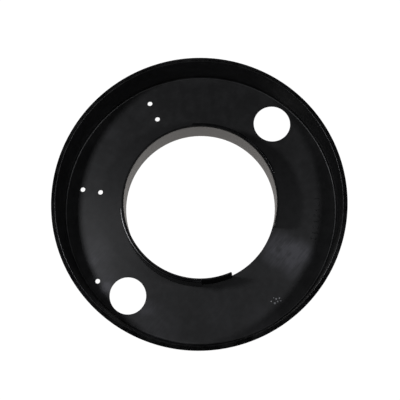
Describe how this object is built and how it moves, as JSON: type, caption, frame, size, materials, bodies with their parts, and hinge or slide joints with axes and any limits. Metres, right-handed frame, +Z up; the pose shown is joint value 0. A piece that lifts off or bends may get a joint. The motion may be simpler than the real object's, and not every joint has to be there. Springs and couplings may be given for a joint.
{
  "type": "toilet flange",
  "caption": "Round shallow black plastic dish with a drafted wall and lip, a large central opening with an open upright collar, two large round openings and small fixing holes.",
  "frame": {"origin": "centre of the foot ring, on the plane the part stands on", "axes": "+Z up through the central opening, out of the open side of the dish; +X through the two large openings, so that the gap in the collar is at -Y"},
  "size_m": [0.1778, 0.1778, 0.0328],
  "materials": {
    "pan_plastic": "semi-gloss black",
    "collar_plastic": "gloss black",
    "strip_plastic": "gloss black"
  },
  "bodies": {
    "root": {"flange_pan": "pan_plastic", "collar_band": "collar_plastic", "collar_backing_strip_right": "strip_plastic", "collar_backing_strip_left": "strip_plastic"}
  },
  "joints": []
}
